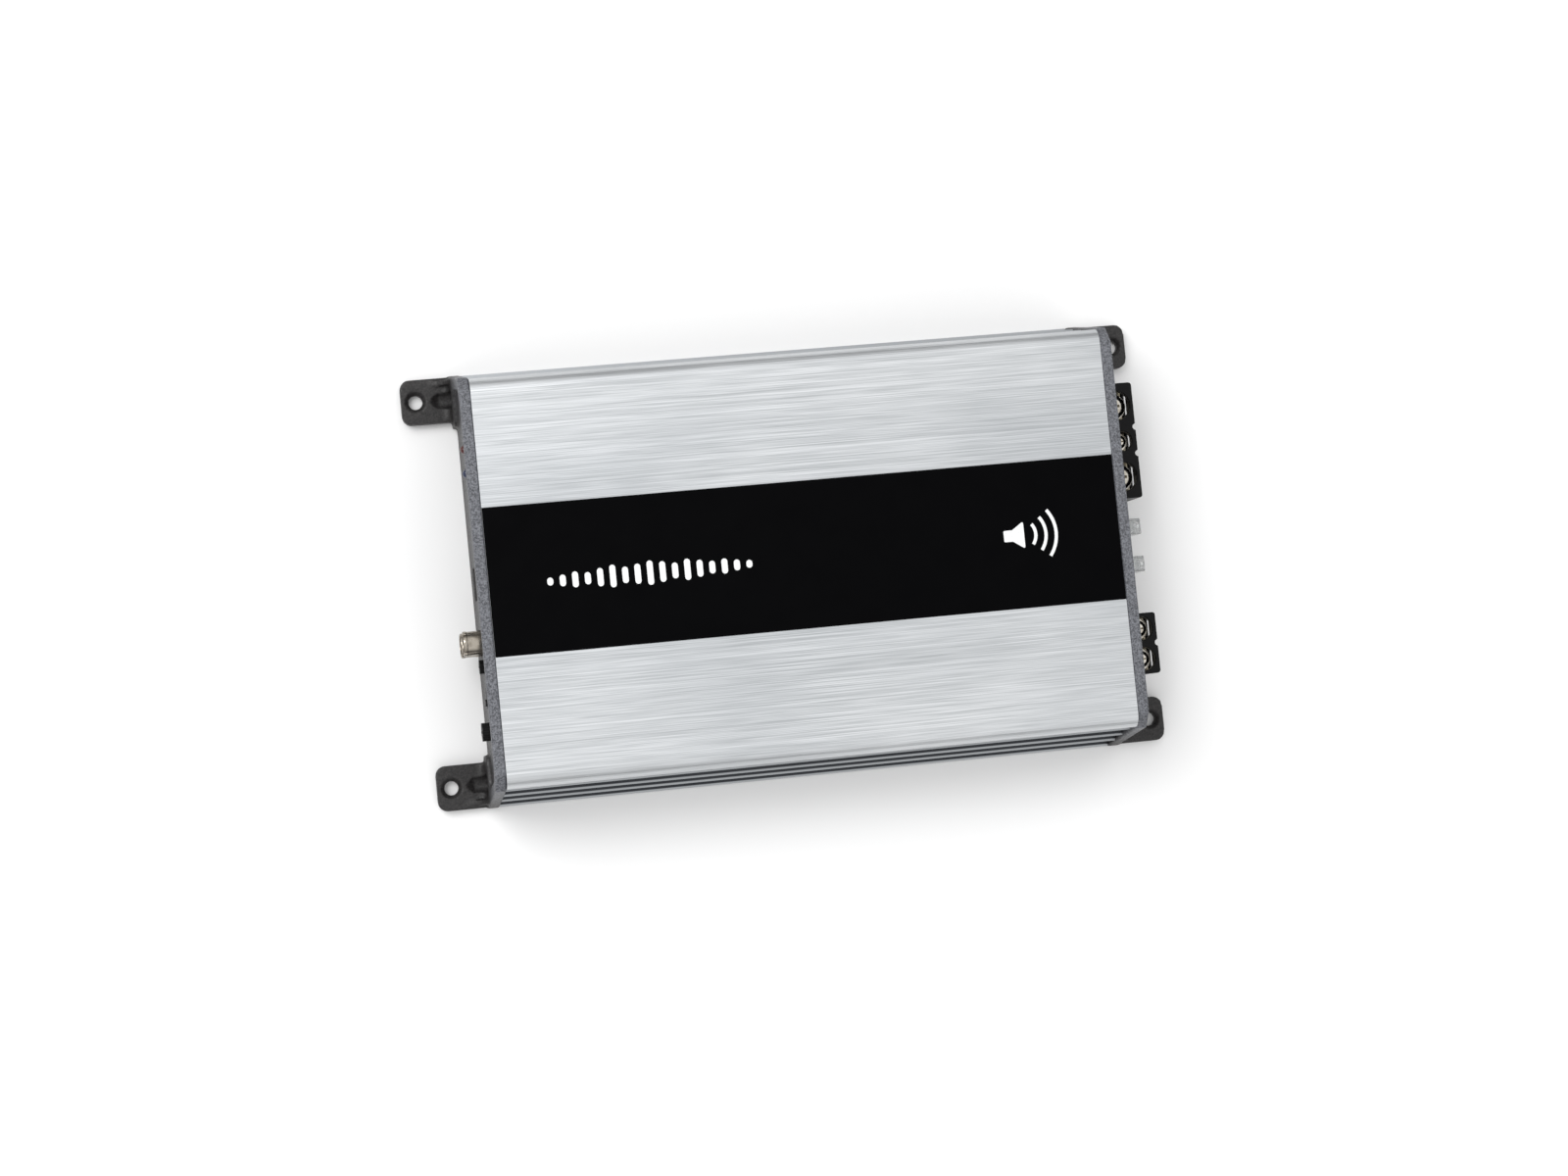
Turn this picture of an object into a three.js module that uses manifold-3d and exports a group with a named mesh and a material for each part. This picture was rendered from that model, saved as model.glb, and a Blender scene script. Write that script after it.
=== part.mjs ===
// A car audio amplifier: a finned aluminium extrusion closed by two cast end caps with mounting
// ears, with its inputs on the left cap and its power, fuse and speaker terminals on the right one.
// Units are millimetres. X runs along the extrusion, Y from the front to the back, Z is up, and the
// origin is the centre of the footprint, in the plane that the mounting ears rest on.
import * as THREE from "three";
import { mergeVertices } from "three/addons/utils/BufferGeometryUtils.js";
import Module from "manifold-3d";

const wasm = await Module();
wasm.setup();

// ---------------------------------------------------------------- driving dimensions

const GAP = 0.3; // clearance between pieces that fit into each other
const SKIN = 0.05; // clearance between faces that lie on each other

const PANEL = {
  half: 105.6, // half the extrusion's length
  top: 46, // its top face
  bottom: 0.8, // its underside, clear of the surface the ears rest on
  flatHalf: 62.2, // half the width of the flat top, up to the rounded edge
  edgeRadius: 4.9,
  plate: 4, // thickness of the top
  innerHalf: 59.3, // half the inside width under the top
  innerSlope: 3, // how much wider the inside is at the rails
  innerBevel: 4,
};
const EDGE = { steps: 6, sweep: 0.94, lip: 0.65, lipZ: 39.8, grooveZ: 39.2 }; // the rounded top edge
const FIN = { count: 4, topZ: 33, pitch: 10.5, topY: 67.8, step: 1.7, depth: 5.2, tip: 2.4, root: 3.2 };
const BOSS = 3.4; // radius of the channels for the end caps' upper screws
const FOOT = { inner: 55.5, z0: 2.3, z1: 7.8, slotDepth: 2.3, slotTop: 9.8, railTop: 11.2 };
const STRIPE = { half: 24.3, pocket: 0.7, thickness: 0.6 };

const CAP = {
  thickness: 3.8,
  recess: 1.5, // how far its field lies behind its rim
  top: 46.4,
  flatHalf: 62.4,
  shoulderY: 67.6,
  shoulderZ: 41.2,
  baseHalf: 73.1,
};
const CAP_FACE = PANEL.half + CAP.thickness;
const CAP_PANEL = CAP_FACE - CAP.recess; // the recessed face that the sockets stand in
const EAR = {
  reach: 126,
  y0: 57.5,
  y1: 72.7,
  thickness: 4,
  corner: 3.2,
  ribWidth: 1.8,
  ribInset: 1,
  ribHeight: 7,
  ribLength: 7.5,
  blend: 2.8,
};
const EAR_HOLE = { x: 121.1, y: 65.1, radius: 2.4, sinkRadius: 3.6 };
const SCOOP = { radius: 3.1, shoulder: 113.6, end: 117.4, endRadius: 0.9 };

// The recessed field of a cap in (y, z), half of it: inside the border, and open below between the ears.
const FIELD = [
  [59.6, 44],
  [64, 39.8],
  [66.9, 16],
  [65.4, 13],
  [56.3, 11],
  [55.3, 9.5],
  [55.3, -1],
];

// The end caps' screws: the lower ones lie in the scoops of the ears.
const LOWER_SCREW = { y: 64.8, z: 5.6 };
const UPPER_SCREW = { y: 56.2, z: 38.8 };
const CAP_SCREW = { headRadius: 2.7, headHeight: 1.8, shankRadius: 1.3, length: 12 };
const PLATE_SCREW = { x: 88, y: 59, headRadius: 2.7, headHeight: 0.6, shankRadius: 1.2, length: 5.4 };

const BOTTOM_PLATE = { z0: 0.9, thickness: 1.2, half: 62.2 };
const BOARD = { half: 103.5, halfWidth: 57.4, z0: 8, thickness: 1.6 };
const BOARD_TOP = BOARD.z0 + BOARD.thickness + SKIN;
const INSIDE = PANEL.half - 0.4; // the front faces of the parts that stand just behind a cap

// Terminal blocks: their cells run along Y, each with a plate, a washer and a screw.
const BLOCK = { face: 120.6, z0: 6.8, z1: 26, back: 95, step: 103.9, backTop: 24 };
const BLOCK_WALL = { corner: 1, thickness: 1.3, seam: 1.1 };
const WELL = { x0: 109.5, x1: 119.5, floor: 14, roof: 23.4, windowTop: 20.4 };
const CONTACT = { back: 99.2, front: 119.2, z0: 14.2, z1: 15.4, tail: 1.2 };
const CLAMP = { open: 5, washer: 1, screwReach: 7.9 }; // its screws stand open at rest
const BIG = { x: 114.4, head: 4.3, height: 2.6, shank: 2.4, washer: 4.6 };
const SMALL = { x: 115.5, head: 2.3, height: 1.9, shank: 1.4, washer: 2.9 };
const MIDDLE = { x: 115.2, head: 2.9, height: 2.2, shank: 1.9, washer: 3.6 };
const POWER_CELLS = [
  { name: "battery", y0: 34.7, y1: 50, screw: BIG },
  { name: "remote", y0: 25.6, y1: 34.7, screw: SMALL },
  { name: "ground", y0: 10.4, y1: 25.6, screw: BIG },
];
const SPEAKER_CELLS = [
  { name: "speaker_plus", y0: -39.3, y1: -28.9, screw: MIDDLE },
  { name: "speaker_minus", y0: -49.7, y1: -39.3, screw: MIDDLE },
];

const FUSE = {
  y: [0.25, -12.45],
  z: 25,
  width: 19.1,
  thickness: 5.3,
  wall: 0.9,
  outer: 116.3,
  inner: 104,
  bladeEnd: 97.8,
};
const FUSE_WAIST = { x0: 110.9, x1: 111.7, depth: 0.7 };
const TEST_SLOT = { x0: 113.3, halfY: 0.6, halfZ: 1.3, z: 5.4 };
const BLADE = { width: 5, thickness: 0.65, inset: 1.4, top: 112.6, bevel: 1 };
const LINK = { inner: 105.6, innerTop: 109.9, outer: 107, outerTop: 111.4 };
const FUSE_HOLDER = { x0: 92, x1: 103.7, y0: -17, y1: 4.8, z1: 36.4 };

const TRANSFORMER = { x: -38, y: 14, outer: 19, inner: 8, height: 21 };
const INDUCTOR = { x: 50, y: -24, outer: 15, inner: 6, height: 17 };
const CAPACITOR = { x: [2, 22], y: 30, radius: 8, height: 30 };
const CLAMP_BAR = { half: 70, y0: -53, y1: -50, z0: 16, z1: 24, foot: 4 };

// The left cap's row of sockets and controls.
const RCA = { y: -18.5, z: [16.5, 30.5], radius: 4.15, bore: 3.6, pin: 1.6, reach: 114.6, bodyHalf: 4.9 };
const LEVEL = { y: -26.2, z: 23, radius: 2.3, reach: 109.5 };
const LOWPASS = { y: -47.7, z: 23, radius: 3.05, reach: 110.6 };
const POT = { shaft: 1.4, depth: 4, back: 98.5, top: 27.5 };
const SWITCH = { y: -36.7, z: 22, reach: 108.6, pocket: 2.9, nub: 2.2, height: 2.6 };
const SOCKET = { y: 1.5, z0: 11.5, z1: 18.5, half: 5, back: 91, depth: 94, bodyHalf: 6.6, top: 24 };
const LED = { y: [38, 46], z: 22, radius: 1.5, flange: 1.9, reach: 108 };

// ---------------------------------------------------------------- solids and meshes

// A three.js geometry as a solid that can be cut and joined.
function solid(geometry) {
  const bare = geometry.clone();
  bare.deleteAttribute("normal");
  bare.deleteAttribute("uv");
  const merged = mergeVertices(bare, 1e-4);
  const vertProperties = Float32Array.from(merged.attributes.position.array);
  const triVerts = Uint32Array.from(merged.index.array);
  return new wasm.Manifold(new wasm.Mesh({ numProp: 3, vertProperties, triVerts }));
}

function geometryOf(made) {
  const mesh = made.getMesh();
  const geometry = new THREE.BufferGeometry();
  geometry.setAttribute("position", new THREE.BufferAttribute(mesh.vertProperties, 3));
  geometry.setIndex(new THREE.BufferAttribute(mesh.triVerts, 1));
  geometry.computeVertexNormals();
  return geometry;
}

function box(x0, x1, y0, y1, z0, z1) {
  const geometry = new THREE.BoxGeometry(x1 - x0, y1 - y0, z1 - z0);
  geometry.translate((x0 + x1) / 2, (y0 + y1) / 2, (z0 + z1) / 2);
  return solid(geometry);
}

function polygon(points) {
  return new THREE.Shape(points.map(([a, b]) => new THREE.Vector2(a, b)));
}

// A rectangle with its corners rounded by arcs.
function roundedRectangle(a0, a1, b0, b1, radius) {
  const shape = new THREE.Shape();
  shape.moveTo(a0 + radius, b0);
  shape.lineTo(a1 - radius, b0);
  shape.absarc(a1 - radius, b0 + radius, radius, -Math.PI / 2, 0);
  shape.lineTo(a1, b1 - radius);
  shape.absarc(a1 - radius, b1 - radius, radius, 0, Math.PI / 2);
  shape.lineTo(a0 + radius, b1);
  shape.absarc(a0 + radius, b1 - radius, radius, Math.PI / 2, Math.PI);
  shape.lineTo(a0, b0 + radius);
  shape.absarc(a0 + radius, b0 + radius, radius, Math.PI, Math.PI * 1.5);
  return shape;
}

const extrusionOf = (shape, depth) =>
  new THREE.ExtrudeGeometry(shape, { depth, bevelEnabled: false, curveSegments: 4 });

// A shape drawn in (y, z) and extruded along X.
function alongX(shape, x0, x1) {
  const geometry = extrusionOf(shape, x1 - x0);
  const turn = new THREE.Matrix4().makeBasis(
    new THREE.Vector3(0, 1, 0),
    new THREE.Vector3(0, 0, 1),
    new THREE.Vector3(1, 0, 0),
  );
  return solid(geometry.applyMatrix4(turn).translate(x0, 0, 0));
}

// A shape drawn in (x, z) and extruded along Y.
function alongY(shape, y0, y1) {
  const geometry = extrusionOf(shape, y1 - y0);
  const turn = new THREE.Matrix4().makeBasis(
    new THREE.Vector3(1, 0, 0),
    new THREE.Vector3(0, 0, 1),
    new THREE.Vector3(0, -1, 0),
  );
  return solid(geometry.applyMatrix4(turn).translate(0, y1, 0));
}

// A shape drawn in (x, y) and extruded along Z.
const alongZ = (shape, z0, z1) => solid(extrusionOf(shape, z1 - z0).translate(0, 0, z0));

// A cylinder or cone along X, at (y, z), with its radius at each end.
function rodX(x0, x1, y, z, radius, sides = 20, endRadius = radius) {
  const geometry = new THREE.CylinderGeometry(endRadius, radius, x1 - x0, sides);
  return solid(geometry.rotateZ(-Math.PI / 2).translate((x0 + x1) / 2, y, z));
}

// A cylinder or cone along Z, at (x, y), with its radius at each end.
function rodZ(z0, z1, x, y, radius, sides = 20, endRadius = radius) {
  const geometry = new THREE.CylinderGeometry(endRadius, radius, z1 - z0, sides);
  return solid(geometry.rotateX(Math.PI / 2).translate(x, y, (z0 + z1) / 2));
}

// A solid of revolution about Z, from its (radius, height) outline.
function turned(outline, sides) {
  const points = outline.map(([radius, height]) => new THREE.Vector2(radius, height));
  return solid(new THREE.LatheGeometry(points, sides).rotateX(Math.PI / 2));
}

const cut = (body, ...tools) => tools.reduce((left, tool) => left.subtract(tool), body);
const join = (body, ...others) => others.reduce((sum, other) => sum.add(other), body);

// What is made at the back, and the same made at the front.
const onBothSides = (make) => [make(1), make(-1)];

const FINISH = {
  aluminium: { color: 0xb9bbbd, roughness: 0.35, metalness: 1 },
  black: { color: 0x08080a, roughness: 0.45, metalness: 0 },
  casting: { color: 0x4a4a4e, roughness: 0.6, metalness: 0.4 },
  steel: { color: 0xa8a8a4, roughness: 0.3, metalness: 1 },
  darkSteel: { color: 0x2a2a2c, roughness: 0.4, metalness: 0.8 },
  blackPlastic: { color: 0x121213, roughness: 0.5, metalness: 0 },
  brass: { color: 0xc9b27a, roughness: 0.3, metalness: 1 },
  clearPlastic: { color: 0xdfe2e2, roughness: 0.15, metalness: 0 },
  white: { color: 0xe8e6e0, roughness: 0.5, metalness: 0 },
  red: { color: 0xa01414, roughness: 0.45, metalness: 0 },
  blue: { color: 0x3050c0, roughness: 0.2, metalness: 0 },
  board: { color: 0x14472a, roughness: 0.5, metalness: 0 },
  copper: { color: 0xa85a2a, roughness: 0.35, metalness: 0.8 },
};

const amplifier = new THREE.Group();

// Adds one named piece, placed in the group.
function place(name, shape, finish, position = [0, 0, 0], rotation = [0, 0, 0]) {
  const geometry = shape instanceof THREE.BufferGeometry ? shape : geometryOf(shape);
  const mesh = new THREE.Mesh(geometry, new THREE.MeshStandardMaterial(FINISH[finish]));
  mesh.name = name;
  mesh.position.set(...position);
  mesh.rotation.set(...rotation);
  amplifier.add(mesh);
  return mesh;
}

// ---------------------------------------------------------------- the extrusion

// The right half of the outside, from the rounded top edge down over the fins.
function finnedSide() {
  const points = [];
  for (let i = 0; i <= EDGE.steps; i += 1) {
    const angle = (Math.PI / 2) * (1 - (i / EDGE.steps) * EDGE.sweep);
    points.push([
      PANEL.flatHalf + PANEL.edgeRadius * Math.cos(angle),
      PANEL.top - PANEL.edgeRadius + PANEL.edgeRadius * Math.sin(angle),
    ]);
  }
  points.push([FIN.topY - EDGE.lip, EDGE.lipZ], [FIN.topY - FIN.depth, EDGE.grooveZ]);
  for (let i = 0; i < FIN.count; i += 1) {
    const tip = FIN.topY + FIN.step * i;
    const z = FIN.topZ - FIN.pitch * i;
    const last = i === FIN.count - 1;
    points.push([tip - FIN.depth, z + FIN.root / 2], [tip, z + FIN.tip / 2]);
    points.push([tip, last ? PANEL.bottom : z - FIN.tip / 2]);
    if (!last) points.push([tip - FIN.depth, z - FIN.root / 2]);
  }
  return points;
}

// The right half of the inside, from the rebate of the bottom plate up to the top.
function innerSide() {
  const plateEdge = BOTTOM_PLATE.half + GAP;
  return [
    [plateEdge, PANEL.bottom],
    [plateEdge, FOOT.z0],
    [FOOT.inner, FOOT.z0],
    [FOOT.inner, FOOT.z1],
    [FOOT.inner + FOOT.slotDepth, FOOT.z1],
    [FOOT.inner + FOOT.slotDepth, FOOT.slotTop],
    [FOOT.inner, FOOT.slotTop],
    [FOOT.inner, FOOT.railTop],
    [PANEL.innerHalf + PANEL.innerSlope, FOOT.railTop + 2],
    [PANEL.innerHalf, PANEL.top - PANEL.plate - PANEL.innerBevel],
    [PANEL.innerHalf - PANEL.innerBevel / 2, PANEL.top - PANEL.plate],
  ];
}

// The four holes for the bottom plate's screws.
function plateScrewHoles(z0, z1, radius) {
  const { x, y } = PLATE_SCREW;
  return [1, -1].flatMap((end) => onBothSides((side) => rodZ(z0, z1, end * x, side * y, radius, 12)));
}

function housing() {
  const right = [...finnedSide(), ...innerSide()];
  const left = right.map(([y, z]) => [-y, z]).reverse();
  const profile = alongX(polygon([...right, ...left]), -PANEL.half, PANEL.half);
  const bosses = onBothSides((side) =>
    rodX(-PANEL.half, PANEL.half, side * UPPER_SCREW.y, UPPER_SCREW.z, BOSS, 14),
  );
  const past = PANEL.half + 1;
  const channels = [UPPER_SCREW, LOWER_SCREW].flatMap(({ y, z }) =>
    onBothSides((side) => rodX(-past, past, side * y, z, CAP_SCREW.shankRadius + GAP, 12)),
  );
  const plateHoles = plateScrewHoles(1, PLATE_SCREW.length + 1.4, PLATE_SCREW.shankRadius + 0.2);
  const pocketHalf = STRIPE.half + 0.1;
  const pocket = box(-110, 110, -pocketHalf, pocketHalf, PANEL.top - STRIPE.pocket, PANEL.top + 1);
  return cut(join(profile, ...bosses), ...channels, ...plateHoles, pocket);
}

place("heatsink_housing", housing(), "aluminium");

const stripeBottom = PANEL.top - STRIPE.pocket + SKIN;
place(
  "stripe_inlay",
  new THREE.BoxGeometry(2 * (PANEL.half - 0.1), 2 * STRIPE.half, STRIPE.thickness),
  "black",
  [0, 0, stripeBottom + STRIPE.thickness / 2],
);

function bottomPlate() {
  const { half, z0, thickness } = BOTTOM_PLATE;
  const end = PANEL.half - 0.3;
  const plate = box(-end, end, -half, half, z0, z0 + thickness);
  return cut(plate, ...plateScrewHoles(0, 4, PLATE_SCREW.shankRadius + GAP));
}

place("bottom_plate", bottomPlate(), "darkSteel");

// ---------------------------------------------------------------- screws

// A pan-head screw along Z, its head's seat at zero and its shank below, with a cross recess.
function crossScrew({ headRadius, headHeight, shankRadius, length }, sides) {
  const body = turned(
    [
      [0, -length],
      [shankRadius * 0.7, -length],
      [shankRadius, -length + 0.6],
      [shankRadius, 0],
      [headRadius, 0],
      [headRadius, headHeight * 0.45],
      [headRadius * 0.75, headHeight * 0.85],
      [headRadius * 0.35, headHeight],
      [0, headHeight],
    ],
    sides,
  );
  const arm = headRadius * 0.55;
  const half = headRadius * 0.13;
  const floor = headHeight * 0.35;
  const recess = join(
    box(-arm, arm, -half, half, floor, headHeight + 1),
    box(-half, half, -arm, arm, floor, headHeight + 1),
  );
  return cut(body, recess);
}

const capScrew = geometryOf(crossScrew(CAP_SCREW, 10));
const plateScrew = geometryOf(crossScrew(PLATE_SCREW, 10));
const capScrewSeat = CAP_FACE - CAP.recess - CAP_SCREW.headHeight + 0.2; // heads lie just inside the face

for (const [side, direction] of [["left", -1], ["right", 1]]) {
  for (const [row, { y, z }] of [["lower", LOWER_SCREW], ["upper", UPPER_SCREW]]) {
    for (const [place_, back] of [["front", -1], ["back", 1]]) {
      place(
        `cap_screw_${side}_${row}_${place_}`,
        capScrew.clone(),
        "darkSteel",
        [direction * (capScrewSeat + SKIN), back * y, z],
        [0, (direction * Math.PI) / 2, 0],
      );
    }
  }
}

for (const [side, direction] of [["left", -1], ["right", 1]]) {
  for (const [place_, back] of [["front", -1], ["back", 1]]) {
    place(
      `plate_screw_${side}_${place_}`,
      plateScrew.clone(),
      "darkSteel",
      [direction * PLATE_SCREW.x, back * PLATE_SCREW.y, BOTTOM_PLATE.z0 - SKIN],
      [Math.PI, 0, 0],
    );
  }
}

// ---------------------------------------------------------------- the end caps

// The cap's outline in (y, z), with its top corners bevelled.
function capOutline() {
  const { top, flatHalf, shoulderY, shoulderZ, baseHalf } = CAP;
  const right = [
    [flatHalf, top],
    [shoulderY, shoulderZ],
    [baseHalf, 3],
    [baseHalf, 0],
  ];
  return polygon([...right, ...right.map(([y, z]) => [-y, z]).reverse()]);
}

// The (x, z) shape that fills the corner between the top of an ear and the cap, under a hollow curve.
function hollowCorner(length, height) {
  const base = EAR.thickness;
  const shape = new THREE.Shape();
  shape.moveTo(CAP_FACE - 1, base - 1);
  shape.lineTo(CAP_FACE + length, base - 1);
  shape.lineTo(CAP_FACE + length, base);
  shape.quadraticCurveTo(CAP_FACE, base, CAP_FACE, base + height);
  shape.lineTo(CAP_FACE - 1, base + height);
  return shape;
}

// One mounting ear, on the right and at the back or the front, with a rib along its outer edge.
function ear(side) {
  const [y0, y1] = side > 0 ? [EAR.y0, EAR.y1] : [-EAR.y1, -EAR.y0];
  const { thickness, ribWidth, ribInset, ribHeight, ribLength, blend, reach, corner } = EAR;
  const plate = alongZ(roundedRectangle(PANEL.half + 1, reach, y0, y1, corner), 0, thickness);
  const ribStart = side > 0 ? y1 - ribInset - ribWidth : y0 + ribInset;
  const rib = alongY(hollowCorner(ribLength, ribHeight), ribStart, ribStart + ribWidth);
  return join(plate, rib, alongY(hollowCorner(blend, blend), y0 + ribInset, y1 - ribInset));
}

// The scoop in an ear: a round channel to the cap's screw, which runs out in a point.
function scoop(side) {
  const { radius, shoulder, end, endRadius } = SCOOP;
  const outline = [
    [0, capScrewSeat],
    [radius, capScrewSeat],
    [radius, shoulder],
    [endRadius, end],
    [0, end],
  ];
  return turned(outline, 16).rotate([0, 90, 0]).translate([0, side * LOWER_SCREW.y, LOWER_SCREW.z]);
}

// What is cut from an ear: the fixing hole with its countersink, and the scoop for the cap's screw.
function earCuts(side) {
  const { x, y, radius, sinkRadius } = EAR_HOLE;
  const sink = sinkRadius - radius;
  return [
    rodZ(-1, EAR.thickness + 1, x, side * y, radius, 20),
    rodZ(EAR.thickness - sink, EAR.thickness + 0.5, x, side * y, radius, 20, sinkRadius + 0.5),
    scoop(side),
    rodX(PANEL.half - 1, CAP_FACE, side * LOWER_SCREW.y, LOWER_SCREW.z, CAP_SCREW.shankRadius + GAP, 12),
    rodX(PANEL.half - 1, CAP_FACE, side * UPPER_SCREW.y, UPPER_SCREW.z, CAP_SCREW.shankRadius + GAP, 12),
    rodX(capScrewSeat, CAP_FACE, side * UPPER_SCREW.y, UPPER_SCREW.z, SCOOP.radius, 16),
  ];
}

// The casting that both caps start from, as the right one.
function capBlank() {
  const inner = PANEL.half + SKIN;
  const plate = alongX(capOutline(), inner, CAP_FACE);
  const outline = polygon([...FIELD, ...FIELD.map(([y, z]) => [-y, z]).reverse()]);
  const field = alongX(outline, CAP_PANEL, CAP_FACE + 1);
  const behind = box(0, inner, -80, 80, -1, 60); // keeps the ears clear of the extrusion
  const blank = join(cut(plate, field), ear(1), ear(-1));
  return cut(blank, behind, ...earCuts(1), ...earCuts(-1));
}

// An opening through a cap, x0 to x1 spanning its thickness at either end.
const windowX = (y0, y1, z0, z1) => box(-CAP_FACE - 1, CAP_FACE + 1, y0, y1, z0, z1);
const holeX = (y, z, radius, sides = 20) => rodX(-CAP_FACE - 1, CAP_FACE + 1, y, z, radius, sides);

function blockWindow(cells) {
  const y0 = Math.min(...cells.map((cell) => cell.y0));
  const y1 = Math.max(...cells.map((cell) => cell.y1));
  return windowX(y0 - GAP, y1 + GAP, BLOCK.z0 - GAP, BLOCK.z1 + GAP);
}

function rightCap() {
  const fuses = FUSE.y.map((y) =>
    windowX(
      y - FUSE.thickness / 2 - GAP,
      y + FUSE.thickness / 2 + GAP,
      FUSE.z - FUSE.width / 2 - GAP,
      FUSE.z + FUSE.width / 2 + GAP,
    ),
  );
  return cut(capBlank(), blockWindow(POWER_CELLS), blockWindow(SPEAKER_CELLS), ...fuses);
}

function leftCap() {
  return cut(
    capBlank().rotate([0, 0, 180]),
    ...RCA.z.map((z) => holeX(RCA.y, z, RCA.radius + GAP, 24)),
    holeX(LEVEL.y, LEVEL.z, LEVEL.radius + GAP),
    holeX(LOWPASS.y, LOWPASS.z, LOWPASS.radius + GAP),
    windowX(SWITCH.y - 3.2, SWITCH.y + 3.2, SWITCH.z - 1.8, SWITCH.z + 1.8),
    windowX(SOCKET.y - SOCKET.half - 0.4, SOCKET.y + SOCKET.half + 0.4, SOCKET.z0 - 0.4, SOCKET.z1 + 2.4),
    ...LED.y.map((y) => holeX(y, LED.z, LED.radius + GAP, 14)),
  );
}

place("left_end_cap", leftCap(), "casting");
place("right_end_cap", rightCap(), "casting");

// ---------------------------------------------------------------- terminal blocks

// The open inside of one cell, in y.
const cellWalls = ({ y0, y1 }) => [y0 + BLOCK_WALL.thickness / 2 + 0.2, y1 - BLOCK_WALL.thickness / 2 - 0.2];

function cellCuts(cell) {
  const [y0, y1] = cellWalls(cell);
  const { x, shank, washer } = cell.screw;
  const middle = (cell.y0 + cell.y1) / 2;
  return [
    box(WELL.x0, WELL.x1, y0, y1, WELL.floor, WELL.roof),
    rodZ(WELL.roof - 1, BLOCK.z1 + 1, x, middle, washer + 0.5, 20),
    box(WELL.x1 - 1, BLOCK.face + 1, y0 + 0.8, y1 - 0.8, CONTACT.z1, WELL.windowTop),
    box(CONTACT.back - 0.2, WELL.x0 + 1, y0, y1, WELL.floor, CONTACT.z1 + 0.2),
    box(CONTACT.back - 0.2, CONTACT.back + CONTACT.tail + 0.2, y0, y1, 9, CONTACT.z1 + 0.2),
    rodZ(BLOCK.z0 + 1, WELL.floor + 1, x, middle, shank + 0.4, 16),
  ];
}

function terminalBlock(cells) {
  const y0 = Math.min(...cells.map((cell) => cell.y0));
  const y1 = Math.max(...cells.map((cell) => cell.y1));
  const outline = roundedRectangle(BLOCK.step, BLOCK.face, y0, y1, BLOCK_WALL.corner);
  const front = alongZ(outline, BLOCK.z0, BLOCK.z1);
  const back = box(BLOCK.back, BLOCK.step + 2, y0 + 1, y1 - 1, BOARD_TOP, BLOCK.backTop);
  const seams = cells
    .map((cell) => cell.y0)
    .filter((y) => y > y0)
    .map((y) => rodZ(BLOCK.z0 - 1, BLOCK.z1 + 1, BLOCK.face + 0.1, y, BLOCK_WALL.seam, 12));
  return cut(join(front, back), ...cells.flatMap(cellCuts), ...seams);
}

function contactPlate(cell) {
  const [y0, y1] = cellWalls(cell);
  const { x, shank } = cell.screw;
  const middle = (cell.y0 + cell.y1) / 2;
  const { back, front, z0, z1, tail } = CONTACT;
  const plate = box(back, front, y0 + 0.2, y1 - 0.2, z0, z1);
  const leg = box(back, back + tail, y0 + 0.2, y1 - 0.2, BOARD_TOP, z1);
  return cut(join(plate, leg), rodZ(z0 - 1, z1 + 1, x, middle, shank + 0.25, 16));
}

const washerBottom = CONTACT.z1 + CLAMP.open + SKIN;
const screwSeat = washerBottom + CLAMP.washer + SKIN;

place("power_terminal_block", terminalBlock(POWER_CELLS), "blackPlastic");
place("speaker_terminal_block", terminalBlock(SPEAKER_CELLS), "blackPlastic");

for (const cell of [...POWER_CELLS, ...SPEAKER_CELLS]) {
  const { x, head, height, shank, washer } = cell.screw;
  const middle = (cell.y0 + cell.y1) / 2;
  place(`${cell.name}_contact`, contactPlate(cell), "brass");
  const disc = cut(
    rodZ(0, CLAMP.washer, 0, 0, washer, 20),
    rodZ(-1, CLAMP.washer + 1, 0, 0, shank + 0.25, 16),
  );
  place(`${cell.name}_washer`, disc, "steel", [x, middle, washerBottom]);
  const shape = { headRadius: head, headHeight: height, shankRadius: shank, length: CLAMP.screwReach };
  place(`${cell.name}_screw`, crossScrew(shape, 16), "steel", [x, middle, screwSeat]);
}

// ---------------------------------------------------------------- fuses

// A blade fuse's body, open towards its blades, at the origin of its own middle plane.
function fuseShell() {
  const { width, thickness, wall, outer, inner } = FUSE;
  const [y, z] = [thickness / 2, width / 2];
  const body = alongX(roundedRectangle(-y, y, -z, z, 0.6), inner, outer);
  const hollow = box(inner - 1, outer - 1.6, wall - y, y - wall, wall - z, z - wall);
  const cuts = [1, -1].flatMap((side) => {
    const edge = (side * width) / 2;
    const { x0, x1, depth } = FUSE_WAIST;
    const { halfY, halfZ } = TEST_SLOT;
    const slotZ = side * TEST_SLOT.z;
    return [
      box(x0, x1, -thickness, thickness, edge - depth, edge + depth),
      box(TEST_SLOT.x0, outer + 1, -halfY, halfY, slotZ - halfZ, slotZ + halfZ),
    ];
  });
  return cut(body, hollow, ...cuts);
}

// Its two blades and the thin link between them, stamped from one strip.
function fuseElement() {
  const outside = FUSE.width / 2 - BLADE.inset;
  const inside = outside - BLADE.width;
  const start = FUSE.bladeEnd + BLADE.bevel;
  const half = [
    [LINK.outerTop, 0.9],
    [LINK.outer, 1.4],
    [LINK.outer, inside - 0.1],
    [BLADE.top, inside],
    [BLADE.top, outside],
    [start, outside],
    [FUSE.bladeEnd, outside - BLADE.bevel],
    [FUSE.bladeEnd, inside + BLADE.bevel],
    [start, inside],
    [LINK.inner, inside - 0.2],
    [LINK.inner, 0.5],
    [LINK.innerTop, 0.35],
  ];
  const shape = polygon([...half, ...half.map(([x, z]) => [x, -z]).reverse()]);
  return alongY(shape, -BLADE.thickness / 2, BLADE.thickness / 2);
}

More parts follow.
